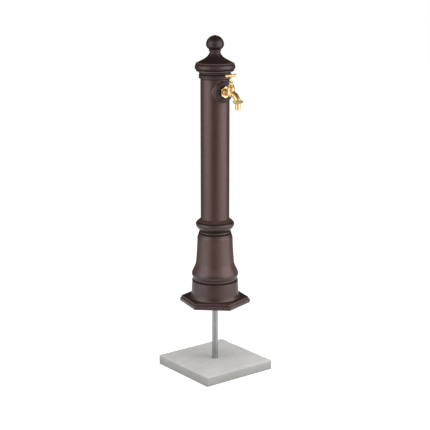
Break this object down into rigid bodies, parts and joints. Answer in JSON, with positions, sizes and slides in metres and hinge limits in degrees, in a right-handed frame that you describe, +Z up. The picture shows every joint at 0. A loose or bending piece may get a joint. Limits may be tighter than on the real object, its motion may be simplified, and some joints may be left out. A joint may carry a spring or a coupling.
{
  "type": "garden standpipe",
  "caption": "Cast garden standpipe with hexagonal foot, ogee cap and ball finial, brass T-handle tap and hose tail; the column slides on a supply pipe above a concrete slab.",
  "frame": {"origin": "middle of the slab's underside, on the axis of the supply pipe and the column", "axes": "+Z up along the column; the tap points along -Y; X runs across the tap, to its left seen from the spout"},
  "size_m": [0.3, 0.3, 1.2313],
  "materials": {
    "concrete": "matte",
    "zinc": "satin",
    "paint": "satin",
    "brass": "polished",
    "steel": "satin",
    "nylon": "matte",
    "fibre": "matte",
    "rubber": "matte"
  },
  "bodies": {
    "ground": {"paving_slab": "concrete", "supply_pipe": "zinc", "inlet_socket": "zinc", "supply_nipple": "brass"},
    "column": {"foot": "paint", "guide": "steel", "guide_bush": "nylon", "guide_screws": "steel", "foot_bolts": "steel", "pedestal": "paint", "collar": "paint", "shaft_screws": "steel", "shaft": "paint", "cap": "paint", "finial": "paint", "cap_rod": "steel", "cap_bridge": "steel", "bridge_nut": "steel", "tap_body": "brass", "wall_nut": "brass", "back_washer": "fibre", "back_nut": "brass", "inlet_elbow": "brass", "inlet_nipple": "brass", "bonnet": "brass", "bonnet_gasket": "fibre", "gland_packing": "nylon", "gland_nut": "brass", "union_nut": "brass", "union_washer": "rubber", "hose_tail": "brass"},
    "valve": {"jumper": "brass", "valve_washer": "rubber", "washer_nut": "brass"},
    "handle": {"spindle": "brass", "tee_handle": "brass", "handle_screw": "steel"}
  },
  "joints": [
    {"name": "column_slide", "type": "slide", "parent": "ground", "child": "column", "axis": [0, 0, 1], "range_m": [-0.2197, 0]},
    {"name": "valve_lift", "type": "slide", "parent": "column", "child": "valve", "axis": [0, 0, 1], "range_m": [0, 0.006]},
    {"name": "handle_turn", "type": "hinge", "parent": "valve", "child": "handle", "pos_m": [0, -0.0915, 1.036], "axis": [0, 0, 1], "range_deg": [0, 900]}
  ],
  "couplings": [
    {"joint": "handle_turn", "follows": "valve_lift", "rad_per_m": 2618}
  ]
}
